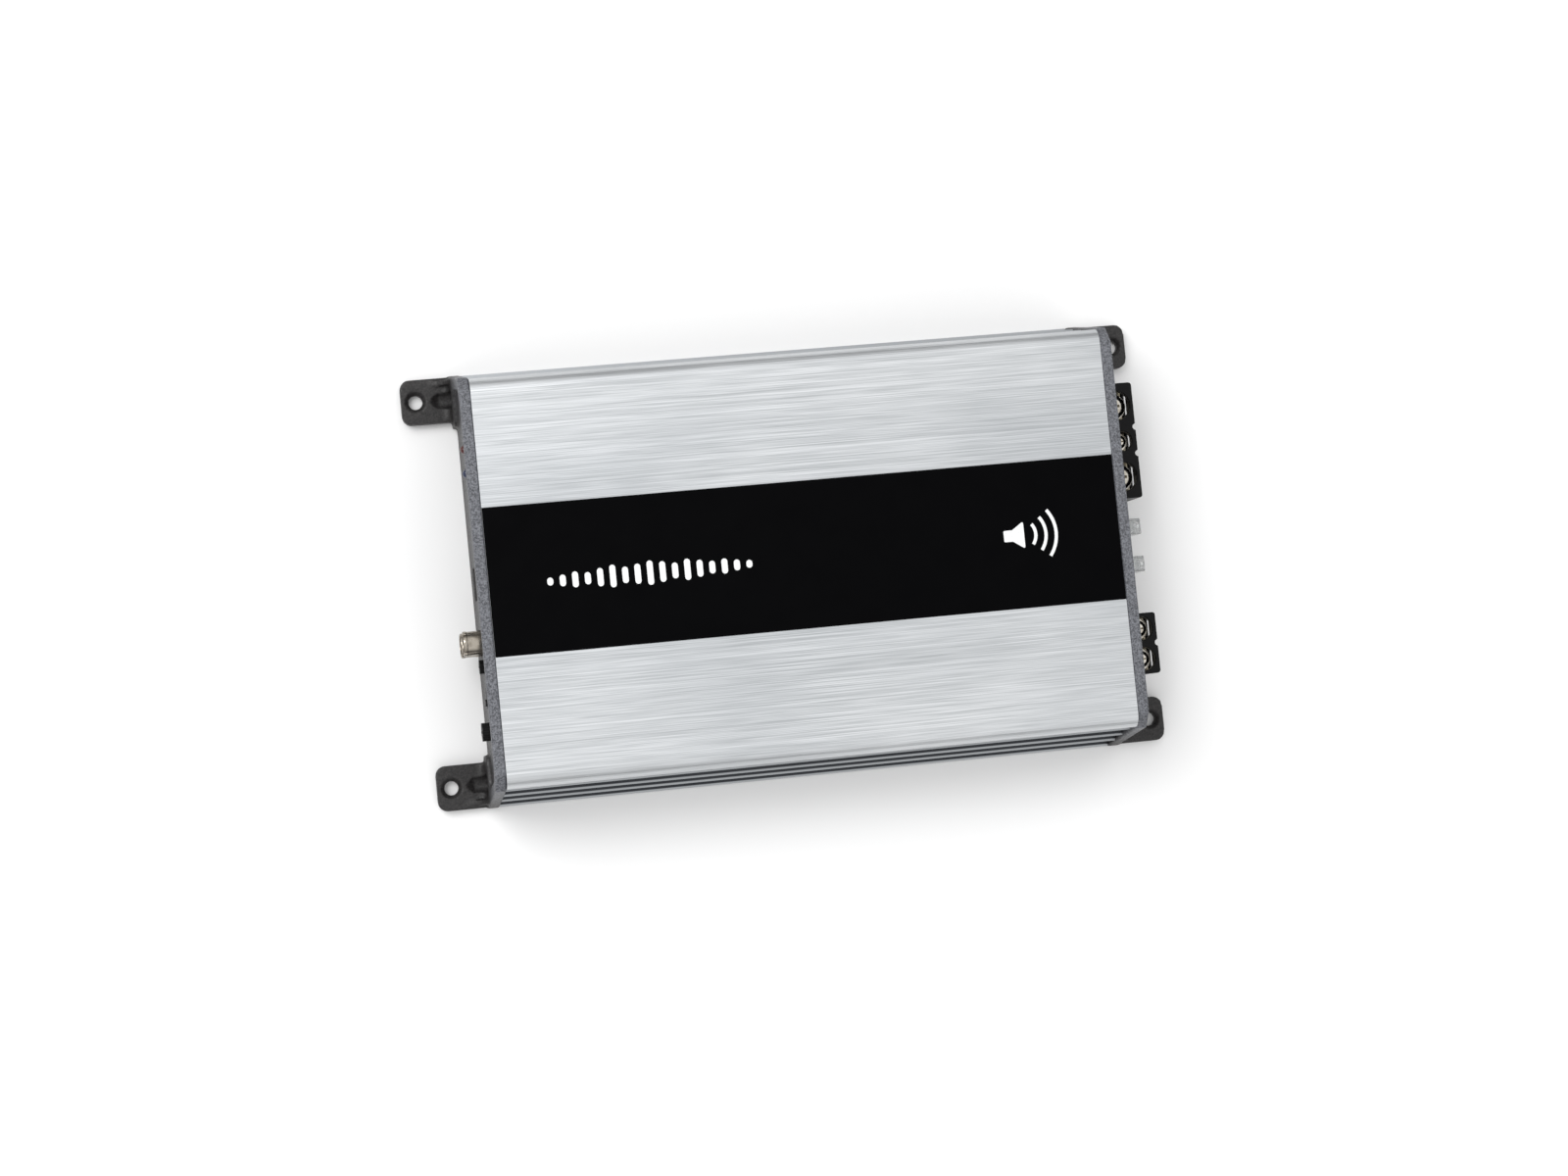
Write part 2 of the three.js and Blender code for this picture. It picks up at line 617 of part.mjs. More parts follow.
function fuseHolder() {
  const { x0, x1, y0, y1, z1 } = FUSE_HOLDER;
  const centre = FUSE.width / 2 - BLADE.inset - BLADE.width / 2;
  const slots = FUSE.y.flatMap((y) =>
    [1, -1].map((side) => {
      const z = FUSE.z + side * centre;
      const half = BLADE.width / 2 + 0.4;
      return box(FUSE.bladeEnd - 1.5, x1 + 1, y - 0.7, y + 0.7, z - half, z + half);
    }),
  );
  return cut(box(x0, x1, y0, y1, BOARD_TOP, z1), ...slots);
}

place("fuse_holder", fuseHolder(), "blackPlastic");
FUSE.y.forEach((y, i) => {
  place(`fuse_body_${i + 1}`, fuseShell(), "clearPlastic", [0, y, FUSE.z]);
  place(`fuse_element_${i + 1}`, fuseElement(), "steel", [0, y, FUSE.z]);
});

// ---------------------------------------------------------------- inputs and controls

function rcaBody() {
  const { y, bodyHalf } = RCA;
  return box(-INSIDE, -94, y - bodyHalf, y + bodyHalf, BOARD_TOP, 37.2);
}

place("rca_body", rcaBody(), "blackPlastic");
[["lower", "red"], ["upper", "white"]].forEach(([row, colour], i) => {
  const back = -INSIDE - SKIN;
  const z = RCA.z[i];
  const sleeve = cut(
    rodX(-RCA.reach, back, RCA.y, z, RCA.radius, 28),
    rodX(-RCA.reach - 1, back + 1, RCA.y, z, RCA.bore, 28),
  );
  const insulator = cut(
    rodX(-RCA.reach + 1.4, back, RCA.y, z, RCA.bore - 0.2, 20),
    rodX(-RCA.reach, back + 1, RCA.y, z, RCA.pin, 12),
  );
  place(`rca_sleeve_${row}`, sleeve, "steel");
  place(`rca_insulator_${row}`, insulator, colour);
});

// A knob on its own axis along X, with a screwdriver slot in its face and a shaft behind.
function knob({ y, z, radius, reach }) {
  const face = rodX(-reach, -INSIDE - 0.1, y, z, radius, 24, radius);
  const shaft = rodX(-INSIDE - 0.5, -INSIDE + POT.depth, y, z, POT.shaft, 16);
  const slot = box(-reach - 1, -reach + 1, y - 0.4, y + 0.4, z - radius * 0.72, z + radius * 0.72);
  return cut(join(face, shaft), slot);
}

function potBody({ y, z }, half) {
  const body = box(-INSIDE, -POT.back, y - half, y + half, BOARD_TOP, POT.top);
  return cut(body, rodX(-INSIDE - 1, -POT.back + 1, y, z, POT.shaft + GAP, 16));
}

place("level_knob", knob(LEVEL), "blackPlastic");
place("level_pot_body", potBody(LEVEL, 2.5), "darkSteel");
place("lowpass_knob", knob(LOWPASS), "blackPlastic");
place("lowpass_pot_body", potBody(LOWPASS, 4.6), "darkSteel");

function phaseSwitchBody() {
  const { y, z, pocket } = SWITCH;
  const body = box(-INSIDE, -99.5, y - 4.2, y + 4.2, BOARD_TOP, z + 3.5);
  return cut(body, box(-INSIDE - 1, -101, y - pocket, y + pocket, z - 1.6, z + 1.6));
}

place("phase_switch_body", phaseSwitchBody(), "darkSteel");
place(
  "phase_switch_slider",
  new THREE.BoxGeometry(SWITCH.reach - 101.4, SWITCH.nub, SWITCH.height),
  "blackPlastic",
  [-(SWITCH.reach + 101.4) / 2, SWITCH.y - SWITCH.pocket + 0.3 + SWITCH.nub / 2, SWITCH.z],
);

function remoteSocket() {
  const { y, z0, z1, half, back, depth, bodyHalf, top } = SOCKET;
  const body = box(-INSIDE, -back, y - bodyHalf, y + bodyHalf, BOARD_TOP, top);
  const mouth = box(-INSIDE - 1, -depth, y - half, y + half, z0, z1);
  const latch = box(-INSIDE - 1, -depth - 4, y - 3, y + 3, z1 - 0.5, z1 + 2);
  return cut(body, mouth, latch);
}

place("remote_socket", remoteSocket(), "blackPlastic");

function lamp() {
  const { radius, flange, reach } = LED;
  return turned(
    [
      [0, 0],
      [flange, 0],
      [flange, 0.7],
      [radius, 0.8],
      [radius, reach - INSIDE + 0.8],
      [radius * 0.7, reach - INSIDE + 1.8],
      [0, reach - INSIDE + 2.2],
    ],
    14,
  );
}

[["power_led", "blue"], ["protect_led", "red"]].forEach(([name, colour], i) => {
  place(name, lamp(), colour, [-INSIDE + 1.2, LED.y[i], LED.z], [0, -Math.PI / 2, 0]);
});

// ---------------------------------------------------------------- on the board inside

place(
  "main_board",
  new THREE.BoxGeometry(2 * BOARD.half, 2 * BOARD.halfWidth, BOARD.thickness),
  "board",
  [0, 0, BOARD.z0 + BOARD.thickness / 2],
);

// A wound ring core lying flat on the board, with its edges rounded.
function windingRing({ outer, inner, height }) {
  const round = 2.5;
  return turned(
    [
      [inner, round],
      [inner + round, 0],
      [outer - round, 0],
      [outer, round],
      [outer, height - round],
      [outer - round, height],
      [inner + round, height],
      [inner, height - round],
      [inner, round],
    ],
    20,
  );
}

place("supply_transformer", windingRing(TRANSFORMER), "copper", [TRANSFORMER.x, TRANSFORMER.y, BOARD_TOP]);
place("output_inductor", windingRing(INDUCTOR), "copper", [INDUCTOR.x, INDUCTOR.y, BOARD_TOP]);

CAPACITOR.x.forEach((x, i) => {
  const { y, radius, height } = CAPACITOR;
  const can = turned(
    [
      [0, 0],
      [radius, 0],
      [radius, height - 0.8],
      [radius - 0.8, height],
      [0, height],
    ],
    18,
  );
  place(`supply_capacitor_${i + 1}`, can, "blackPlastic", [x, y, BOARD_TOP]);
});

// The bar that presses the output transistors to the side wall, on two feet.
function clampBar() {
  const { half, y0, y1, z0, z1, foot } = CLAMP_BAR;
  const feet = [-half, half - foot].map((x) => box(x, x + foot, y0, y1, BOARD_TOP, z0 + 1));
  return join(box(-half, half, y0, y1, z0, z1), ...feet);
}

place("transistor_clamp_bar", clampBar(), "aluminium");

export default amplifier;
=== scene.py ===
import math

import bmesh
import bpy
from mathutils import Matrix, Vector


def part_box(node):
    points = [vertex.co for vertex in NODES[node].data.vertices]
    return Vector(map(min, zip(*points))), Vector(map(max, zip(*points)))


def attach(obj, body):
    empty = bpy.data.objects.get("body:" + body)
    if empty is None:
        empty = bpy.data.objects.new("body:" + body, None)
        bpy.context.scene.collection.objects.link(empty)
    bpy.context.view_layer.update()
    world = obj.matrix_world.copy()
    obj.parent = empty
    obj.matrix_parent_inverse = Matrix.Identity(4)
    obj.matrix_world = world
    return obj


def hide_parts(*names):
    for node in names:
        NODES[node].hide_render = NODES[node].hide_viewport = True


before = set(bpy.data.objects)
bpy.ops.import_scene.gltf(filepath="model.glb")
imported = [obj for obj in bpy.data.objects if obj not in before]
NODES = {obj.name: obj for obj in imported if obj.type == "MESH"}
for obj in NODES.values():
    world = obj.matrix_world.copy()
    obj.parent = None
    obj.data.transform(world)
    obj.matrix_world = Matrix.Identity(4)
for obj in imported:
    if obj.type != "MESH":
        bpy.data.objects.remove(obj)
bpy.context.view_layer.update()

# A car audio amplifier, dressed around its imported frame: a brushed aluminium case with two cast end
# caps, its sockets, fuses, terminals and controls, and what stands on the board inside.

MM = 0.001
FULL_TURN = 2 * math.pi


# ---------------------------------------------------------------- building materials

MOST = {"From Min": 0.3, "From Max": 0.7}  # most of a noise's values lie between these


def linear(text):
    """An sRGB hex colour as linear red, green and blue, with full alpha."""
    channels = [int(text[i:i + 2], 16) / 255 for i in (1, 3, 5)]
    return (*[c / 12.92 if c <= 0.04045 else ((c + 0.055) / 1.055) ** 2.4 for c in channels], 1.0)


def plug(tree, node, inputs):
    """Sets a node's inputs: values, hex colours, or sockets to link."""
    for name, value in inputs.items():
        if isinstance(value, bpy.types.NodeSocket):
            tree.links.new(value, node.inputs[name])
        else:
            node.inputs[name].default_value = linear(value) if isinstance(value, str) else value


def add(tree, kind, inputs=None, output=0, **settings):
    """Adds a shader node with its settings and its inputs, and gives one of its outputs."""
    node = tree.nodes.new("ShaderNode" + kind)
    for name, value in settings.items():
        setattr(node, name, value)
    plug(tree, node, inputs or {})
    return node.outputs[output]


def blank(name):
    """A new material, and its tree of nodes."""
    made = bpy.data.materials.new(name)
    made.use_nodes = True
    return made, made.node_tree


def finished(made, inputs):
    """Sets what a material's surface is like, and gives the material back."""
    plug(made.node_tree, made.node_tree.nodes["Principled BSDF"], inputs)
    return made


def noise(tree, size, stretch=(1, 1, 1), detail=3.0, roughness=0.5):
    """Noise whose lumps are size mm across, stretched along each axis by stretch."""
    place = add(tree, "TexCoord", output="Object")
    scaled = add(tree, "Mapping", {"Vector": place, "Scale": [1 / (MM * size * s) for s in stretch]})
    return add(tree, "TexNoise", {"Vector": scaled, "Scale": 1.0, "Detail": detail, "Roughness": roughness})


def between(tree, factor, low, high, first, second):
    """Two colours blended as a factor goes from low to high."""
    part = add(tree, "MapRange", {"Value": factor, "From Min": low, "From Max": high})
    return add(tree, "Mix", {0: part, 6: first, 7: second}, 2, data_type="RGBA")


# ---------------------------------------------------------------- the finishes

# On each side of the case the fins' tips lie on a leaning line: the place that it goes through, how far
# it leans in for each mm of height, and how far it is followed up and down, in mm.
FIN_TIP_Y, FIN_TIP_Z = 67.8, 33.0
FIN_LEAN = 0.162
FIN_REACH = 40
# Where the painted shade of the sides begins below the top, and how far it blends in, mm.
GROOVE_TOP = 40.4
GROOVE_BLEND = 0.4


def below_the_top(tree, height):
    """A factor that is 1 on the case's sides and 0 above them."""
    inputs = {"Value": height, "From Min": GROOVE_TOP * MM, "From Max": (GROOVE_TOP - GROOVE_BLEND) * MM}
    return add(tree, "MapRange", inputs)


def inside_the_tips(tree, height, y):
    """A factor that is 1 inwards of the line of the fins' tips and 0 on the tips themselves."""
    lean = FIN_REACH * FIN_LEAN
    tips = add(tree, "MapRange", {
        "Value": height,
        "From Min": (FIN_TIP_Z - FIN_REACH) * MM,
        "From Max": (FIN_TIP_Z + FIN_REACH) * MM,
        "To Min": (FIN_TIP_Y + lean) * MM,
        "To Max": (FIN_TIP_Y - lean) * MM,
    })
    aside = add(tree, "Math", {0: y}, operation="ABSOLUTE")
    inward = add(tree, "Math", {0: tips, 1: aside}, operation="SUBTRACT")
    return add(tree, "MapRange", {"Value": inward, "From Min": 0.35 * MM, "From Max": 0.6 * MM})


def brushed_aluminium():
    """Clear anodised aluminium, brushed along its length: fine bright and dull lines that run with it.

    The brushed tone is on the top only: the sides below it are painted a flat darker grey as painted shade,
    and the fins' grooves and the inside a deep grey as painted shade, where the fins shadow each other."""
    made, tree = blank("brushed_anodised_aluminium")
    # Real brushing lines are 0.1 mm apart; these are 0.3 mm, so that they show at arm's length.
    lines = noise(tree, 0.3, (300, 1, 1), 2.0)
    grain = noise(tree, 0.3, (60, 1, 1), 1.0)
    both = add(tree, "Math", {0: lines, 1: grain}, operation="ADD")
    tone = between(tree, both, 0.66, 1.34, "#B2B5B7", "#DADCDE")
    shade = between(tree, noise(tree, 48, (1.8, 1, 1), 1.0), 0.3, 0.7, "#EAEBEC", "#FFFFFF")
    top = add(tree, "Mix", {0: 1.0, 6: tone, 7: shade}, 2, data_type="RGBA", blend_type="MULTIPLY")
    place = add(tree, "TexCoord", output="Object")
    height = add(tree, "SeparateXYZ", {0: place}, "Z")
    # Painted shade: the sides below the top take a flat darker grey, and the fins' grooves and the inside a
    # deep grey, where the fins shadow each other.
    side_shade_mask = below_the_top(tree, height)
    inside = inside_the_tips(tree, height, add(tree, "SeparateXYZ", {0: place}, "Y"))
    groove_shade_mask = add(tree, "Math", {0: inside, 1: side_shade_mask}, operation="MULTIPLY")
    sides = between(tree, side_shade_mask, 0.0, 1.0, top, "#A2A5A8")
    return finished(made, {
        "Base Color": between(tree, groove_shade_mask, 0.0, 1.0, sides, "#3B3D40"),
        "Metallic": 1.0,
        "Roughness": add(tree, "MapRange", {"Value": lines, **MOST, "To Min": 0.34, "To Max": 0.46}),
        "Normal": add(tree, "Bump", {"Height": lines, "Distance": 0.01 * MM, "Strength": 0.5}),
    })


def powder_coated_casting():
    """Die-cast alloy under a textured powder coat: a fine pebbled grain, with painted light and shade by
    height, lighter at the top band and darker down at the ears.
    """
    made, tree = blank("textured_powder_coat")
    pebbles = noise(tree, 0.7, detail=2.0)
    specks = noise(tree, 0.6, detail=2.0, roughness=0.8)
    height = add(tree, "SeparateXYZ", {0: add(tree, "TexCoord", output="Object")}, "Z")
    # Painted light and shade: the colour runs from a dark painted shade at the ears up to a lighter painted
    # highlight at the top band.
    tone = between(tree, height, 10 * MM, 44 * MM, "#2D2B2B", "#75777D")
    flecks = between(tree, specks, 0.38, 0.62, "#8C8C8E", "#FFFFFF")
    speckled = add(tree, "Mix", {0: 1.0, 6: tone, 7: flecks}, 2, data_type="RGBA", blend_type="MULTIPLY")
    return finished(made, {
        "Base Color": speckled,
        "Roughness": add(tree, "MapRange", {"Value": pebbles, **MOST, "To Min": 0.38, "To Max": 0.6}),
        "Specular IOR Level": 0.4,
        "Normal": add(tree, "Bump", {"Height": pebbles, "Distance": 0.12 * MM, "Strength": 0.7}),
    })


def black_enamel():
    """Satin black enamel on a thin plate: deep and even, with the faintest orange peel."""
    made, tree = blank("satin_black_enamel")
    cloth_marks = noise(tree, 9)
    peel = noise(tree, 1.1, detail=1.0)
    return finished(made, {
        "Base Color": "#030304",
        "Roughness": add(tree, "MapRange", {"Value": cloth_marks, **MOST, "To Min": 0.55, "To Max": 0.66}),
        "Specular IOR Level": 0.03,
        "Normal": add(tree, "Bump", {"Height": peel, "Distance": 0.01 * MM, "Strength": 0.3}),
    })


def black_sheet_steel():
    """Pressed steel sheet with a black powder coat: a fine even grain and worn-bright specks."""
    made, tree = blank("powder_coated_sheet_steel")
    grain = noise(tree, 0.5, detail=2.0)
    return finished(made, {
        "Base Color": between(tree, noise(tree, 14, detail=5.0), 0.62, 0.8, "#17171A", "#2C2C30"),
        "Roughness": 0.55,
        "Specular IOR Level": 0.35,
        "Normal": add(tree, "Bump", {"Height": grain, "Distance": 0.06 * MM, "Strength": 0.6}),
    })


def moulded_plastic(name, colour, worn, roughness, grain, specular=0.35):
    """Injection-moulded plastic: an even colour with a spark-eroded grain from the mould."""
    made, tree = blank(name)
    clouds = noise(tree, 6)
    smooth, rough = roughness - 0.07, roughness + 0.08
    eroded = noise(tree, grain, detail=1.0)
    return finished(made, {
        "Base Color": between(tree, clouds, 0.3, 0.75, colour, worn),
        "Roughness": add(tree, "MapRange", {"Value": clouds, **MOST, "To Min": smooth, "To Max": rough}),
        "Specular IOR Level": specular,
        "Normal": add(tree, "Bump", {"Height": eroded, "Distance": 0.03 * MM, "Strength": 0.5}),
    })


def plated_metal(name, colour, dull, roughness):
    """Turned or stamped metal under bright plating: fine tool marks and a trace of tarnish."""
    made, tree = blank(name)
    blotches = noise(tree, 2.2, detail=4.0)
    tarnish = add(tree, "MapRange", {"Value": blotches, "From Min": 0.4, "From Max": 0.75})
    smooth, rough = roughness - 0.05, roughness + 0.12
    tool_marks = noise(tree, 0.25, detail=2.0)
    return finished(made, {
        "Base Color": between(tree, tarnish, 0.0, 1.0, colour, dull),
        "Metallic": 1.0,
        "Roughness": add(tree, "MapRange", {"Value": tarnish, "To Min": smooth, "To Max": rough}),
        "Normal": add(tree, "Bump", {"Height": tool_marks, "Distance": 0.01 * MM, "Strength": 0.5}),
    })


def clear_fuse_plastic():
    """Clear moulded polysulphone, a little milky, with flow lines along the moulding."""
    made, tree = blank("clear_moulded_polysulphone")
    flow = noise(tree, 1.4, (3, 1, 1))
    haze = noise(tree, 3)
    return finished(made, {
        "Base Color": "#F2F4F4",
        "Roughness": add(tree, "MapRange", {"Value": haze, **MOST, "To Min": 0.08, "To Max": 0.22}),
        "IOR": 1.6,
        "Transmission Weight": 0.85,
        "Normal": add(tree, "Bump", {"Height": flow, "Distance": 0.03 * MM, "Strength": 0.5}),
    })


def cast_epoxy(name, colour):
    """The tinted epoxy of an indicator lamp that is off: clear, smooth and coloured all through."""
    made, tree = blank(name)
    ripple = noise(tree, 1.2)
    return finished(made, {
        "Base Color": colour,
        "Roughness": add(tree, "MapRange", {"Value": ripple, **MOST, "To Min": 0.05, "To Max": 0.14}),
        "IOR": 1.5,
        "Transmission Weight": 0.5,
    })


def white_ink():
    """White ink printed through a screen: dense and matt, with the mesh just showing."""
    made, tree = blank("screen_printed_white_ink")
    screen = noise(tree, 0.3, detail=1.0)
    return finished(made, {
        "Base Color": between(tree, screen, 0.3, 0.7, "#DADBDB", "#F2F3F3"),
        "Roughness": 0.6,
        "Specular IOR Level": 0.3,
        "Normal": add(tree, "Bump", {"Height": screen, "Distance": 0.01 * MM, "Strength": 0.4}),
    })


def circuit_board():
    """Glass epoxy under green solder mask, its copper areas showing lighter and raised, 9 mm across."""
    made, tree = blank("solder_masked_glass_epoxy")
    place = add(tree, "TexCoord", output="Object")
    scaled = add(tree, "Mapping", {"Vector": place, "Scale": (1 / (9 * MM),) * 3})
    pads = add(tree, "TexVoronoi", {"Vector": scaled, "Scale": 1.0}, distance="CHEBYCHEV", feature="F1")
    gaps = add(tree, "MapRange", {"Value": pads, "From Min": 0.46, "From Max": 0.5})
    return finished(made, {
        "Base Color": between(tree, gaps, 0.0, 1.0, "#1B5E38", "#0F3B24"),
        "Roughness": 0.32,
        "Normal": add(tree, "Bump", {"Height": gaps, "Distance": 0.035 * MM, "Strength": 0.8}),
    })


def enamelled_wire():
    """Copper wire under clear polyester enamel: glossy, red-brown, each turn a little different."""
    made, tree = blank("enamelled_copper_wire")
    runs = noise(tree, 0.8)
    return finished(made, {
        "Base Color": between(tree, noise(tree, 2.5), 0.0, 1.0, "#8A3E16", "#C0682C"),
        "Metallic": 0.85,
        "Roughness": add(tree, "MapRange", {"Value": runs, **MOST, "To Min": 0.22, "To Max": 0.36}),
    })


FINISH = {
    "brushed_aluminium": brushed_aluminium(),
    "textured_casting": powder_coated_casting(),
    "black_enamel": black_enamel(),
    "black_steel_sheet": black_sheet_steel(),
    "black_terminal_plastic": moulded_plastic(
        "black_polyamide_moulding", "#070708", "#0D0D0E", 0.4, 0.5, 0.14
    ),
    "black_control_plastic": moulded_plastic("black_abs_moulding", "#09090A", "#111112", 0.45, 0.35, 0.2),
    "white_plastic": moulded_plastic("white_nylon_moulding", "#E6E4DC", "#D8D6CC", 0.45, 0.4),
    "red_plastic": moulded_plastic("red_nylon_moulding", "#A81515", "#8E1010", 0.45, 0.4),
    "capacitor_sleeve": moulded_plastic("shrunk_pvc_sleeve", "#101018", "#1A1A26", 0.3, 0.9),
    "black_zinc_steel": plated_metal("black_zinc_plated_steel", "#3A3A3E", "#242427", 0.32),
    "nickel_plated_steel": plated_metal("nickel_plated_steel", "#CFCBC2", "#9C9486", 0.16),
    "nickel_plated_brass": plated_metal("nickel_plated_brass", "#A8A196", "#6B6257", 0.14),
    "tinned_brass": plated_metal("tinned_brass_strip", "#B7AF9C", "#8D8168", 0.28),
    "fuse_zinc": plated_metal("stamped_zinc_strip", "#B9BBBD", "#8F9295", 0.33),
    "mill_aluminium": plated_metal("mill_finish_aluminium", "#C2C4C6", "#9FA2A5", 0.38),
    "control_housing": plated_metal("tinned_steel_can", "#A9AAA8", "#858682", 0.34),
    "clear_fuse_plastic": clear_fuse_plastic(),
    "blue_led_epoxy": cast_epoxy("blue_lamp_epoxy", "#3C4666"),
    "red_led_epoxy": cast_epoxy("red_lamp_epoxy", "#6A3634"),
    "white_ink": white_ink(),
    "circuit_board": circuit_board(),
    "enamelled_copper": enamelled_wire(),
}


# ---------------------------------------------------------------- building pieces

AXES = {
    "Z": Matrix(),
    "-Z": Matrix.Rotation(math.pi, 4, "X"),
    "X": Matrix.Rotation(math.pi / 2, 4, "Y"),
    "-X": Matrix.Rotation(-math.pi / 2, 4, "Y"),
}
ON_AXIS = 1e-6  # a turned point nearer its axis than this lies on it, mm


def middle(node):
    """The centre of a frame node, in mm."""
    low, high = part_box(node)
    return [(a + b) / 2 / MM for a, b in zip(low, high)]


def corners(node):
    """The lowest and highest corners of a frame node, in mm."""
    low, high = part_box(node)
    return [v / MM for v in low], [v / MM for v in high]


def piece(name, mesh, finish, body="root", stands_for=()):
    """Links a mesh as a piece of the object, with its finish, riding on a body of the frame."""
    made = bpy.data.objects.new(name, mesh)
    bpy.context.scene.collection.objects.link(made)
    mesh.materials.clear()
    mesh.materials.append(FINISH[finish])
    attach(made, body)
    if stands_for:
        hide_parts(*stands_for)
    return made


def weighted(made):
    """Lets the broad faces of a piece set its shading, so that flats stay flat beside round edges."""
    made.modifiers.new("flats", "WEIGHTED_NORMAL").keep_sharp = True
    return made


def mesh_of(bm, name, crease=40):
    """Finishes a bmesh as a mesh: smooth, with edges sharper than crease degrees kept sharp."""
    bmesh.ops.recalc_face_normals(bm, faces=bm.faces)
    for face in bm.faces:
        face.smooth = True
    for edge in bm.edges:
        edge.smooth = len(edge.link_faces) == 2 and edge.calc_face_angle(0) < math.radians(crease)
    mesh = bpy.data.meshes.new(name)
    bm.to_mesh(mesh)
    bm.free()
    return mesh


def arc(centre, radius, start, end, steps):
    """Points of an arc in a plane, its angles in degrees."""
    angles = [math.radians(start + (end - start) * i / steps) for i in range(steps + 1)]
    return [(centre[0] + radius * math.cos(a), centre[1] + radius * math.sin(a)) for a in angles]


def rounded(outline, radius, steps):
    """A closed outline with each corner turned into a curve, which takes at most 0.45 of a side."""
    points = [Vector(p) for p in outline]
    made = []
    for i, corner in enumerate(points):
        before, after = points[i - 1] - corner, points[(i + 1) % len(points)] - corner
        reach = min(radius / math.tan(before.angle(after) / 2), 0.45 * before.length, 0.45 * after.length)
        first, last = corner + before.normalized() * reach, corner + after.normalized() * reach
        for k in range(steps + 1):
            t = k / steps
            made.append(tuple(first * (1 - t) ** 2 + corner * (2 * t * (1 - t)) + last * t ** 2))
    return made


def prism(outline, low, high, axis):
    """A bmesh of an outline in mm, extruded along an axis: 0 from (y, z), 1 from (x, z), 2 from (x, y)."""
    bm = bmesh.new()

    def corner(point, along):
        values = list(point)
        values.insert(axis, along)
        return bm.verts.new([v * MM for v in values])

    ends = [[corner(p, along) for p in outline] for along in (low, high)]
    bm.faces.new(ends[0])
    bm.faces.new(ends[1][::-1])
    for i in range(len(outline)):
        k = (i + 1) % len(outline)
        bm.faces.new((ends[0][i], ends[0][k], ends[1][k], ends[1][i]))
    return bm


def block(low, high):
    """A bmesh of a box between its lowest and highest corners, in mm."""
    (x, y, bottom), (far_x, far_y, top) = low, high
    return prism([(x, y), (far_x, y), (far_x, far_y), (x, far_y)], bottom, top, 2)


def turned(outline, sides=48, place=(0, 0, 0), axis="Z"):
    """A bmesh of a (radius, height) outline in mm, turned about an axis through a place in mm."""
    bm = bmesh.new()
    around = [FULL_TURN * i / sides for i in range(sides)]
    rings = [
        [bm.verts.new((radius * math.cos(a), radius * math.sin(a), height))
         for a in (around if radius > ON_AXIS else around[:1])]
        for radius, height in outline
    ]
    closed = outline[0][0] > ON_AXIS
    pairs = list(zip(rings, rings[1:])) + ([(rings[-1], rings[0])] if closed else [])
    for first, second in pairs:
        for i in range(sides):
            k = (i + 1) % sides
            ends = [ring[j % len(ring)] for ring, j in ((first, i), (first, k), (second, k), (second, i))]
            unique = list(dict.fromkeys(ends))
            if len(unique) > 2:
                bm.faces.new(unique)
    bm.transform(Matrix.Scale(MM, 4) @ Matrix.Translation(place) @ AXES[axis])
    return bm


def baked(made):
    """A bmesh of an object with its modifiers applied; the object itself is dropped."""
    bpy.context.scene.collection.objects.link(made)
    graph = bpy.context.evaluated_depsgraph_get()
    mesh = bpy.data.meshes.new_from_object(made.evaluated_get(graph))
    bpy.data.objects.remove(made)
    bm = bmesh.new()
    bm.from_mesh(mesh)
    return bm


def moulded(node, name, voxel, passes, keep):
    """A cast or moulded copy of a frame node: every edge and corner of it takes a small natural radius.

    It is made of voxels, in mm, then smoothed by so many passes and thinned to that share of its faces."""
    made = bpy.data.objects.new(name, NODES[node].data.copy())
    made.modifiers.new("weld", "WELD").merge_threshold = 0.001 * MM
    cast = made.modifiers.new("cast", "REMESH")
    cast.mode = "VOXEL"
    cast.voxel_size = voxel * MM
    ease = made.modifiers.new("ease", "SMOOTH")
    ease.factor = 0.5
    ease.iterations = passes
    made.modifiers.new("thin", "DECIMATE").ratio = keep
    return mesh_of(baked(made), name, 60)


def softened(node, width, segments=2):
    """A bmesh of a frame node, its edges sharper than 35 degrees rounded, width in mm."""
    bm = bmesh.new()
    bm.from_mesh(NODES[node].data)
    bmesh.ops.remove_doubles(bm, verts=bm.verts, dist=0.002 * MM)
    bmesh.ops.dissolve_limit(bm, angle_limit=math.radians(1), verts=bm.verts, edges=bm.edges)
    edges = [e for e in bm.edges if len(e.link_faces) == 2 and e.calc_face_angle(0) > math.radians(35)]
    bmesh.ops.bevel(
        bm, geom=edges, offset=width * MM, segments=segments, profile=0.6, affect="EDGES", clamp_overlap=True
    )
    return bm


def softened_piece(node, finish, width, body="root", segments=2):
    """A frame node with its edges rounded, width in mm, as a piece in its stead."""
    mesh = mesh_of(softened(node, width, segments), node + "_eased")
    return weighted(piece(node + "_eased", mesh, finish, body, [node]))


def carved(mesh, *cutters):
    """A bmesh of a mesh with cutters, each a bmesh, taken out of it."""
    made = bpy.data.objects.new(mesh.name, mesh)
    tools = [bpy.data.objects.new("cutter", mesh_of(cutter, "cutter")) for cutter in cutters]
    for tool in tools:
        bpy.context.scene.collection.objects.link(tool)
        cut = made.modifiers.new("cut", "BOOLEAN")
        cut.solver = "EXACT"
        cut.object = tool
    bm = baked(made)
    for tool in tools:
        bpy.data.objects.remove(tool)
    return bm


def together(*parts):
    """One bmesh of several."""
    whole = bmesh.new()
    for part in parts:
        mesh = bpy.data.meshes.new("part")
        part.to_mesh(mesh)
        part.free()
        whole.from_mesh(mesh)
        bpy.data.meshes.remove(mesh)
    return whole


# ---------------------------------------------------------------- camera, light and floor

